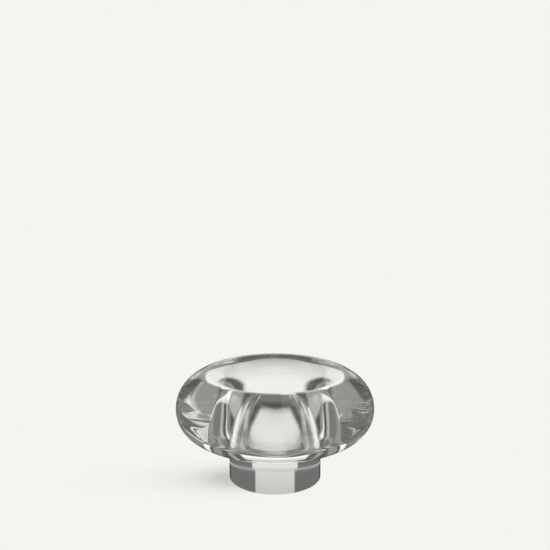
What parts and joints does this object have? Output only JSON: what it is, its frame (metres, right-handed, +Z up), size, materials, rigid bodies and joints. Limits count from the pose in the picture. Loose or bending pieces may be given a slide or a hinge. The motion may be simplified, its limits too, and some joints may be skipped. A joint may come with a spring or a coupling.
{
  "type": "votive candle holder",
  "caption": "Thick ring-shaped clear glass candle bowl with a central well, bonded to a plain polished steel cylinder base.",
  "frame": {"origin": "on the table, under the middle of the base", "axes": "+Z up along the turning axis, -Y towards the viewer of the picture"},
  "size_m": [0.1, 0.1, 0.055],
  "materials": {
    "clear_glass": "clear, fire polished",
    "polished_steel": "mirror-polished stainless steel",
    "clear_bond": "cured clear adhesive film",
    "plate_steel": "plain sheet steel",
    "dark_felt": "dense felt"
  },
  "bodies": {
    "root": {"glass_bowl": "clear_glass", "steel_base": "polished_steel", "bond_film": "clear_bond", "closing_plate": "plate_steel", "foot_pad": "dark_felt"}
  },
  "joints": []
}
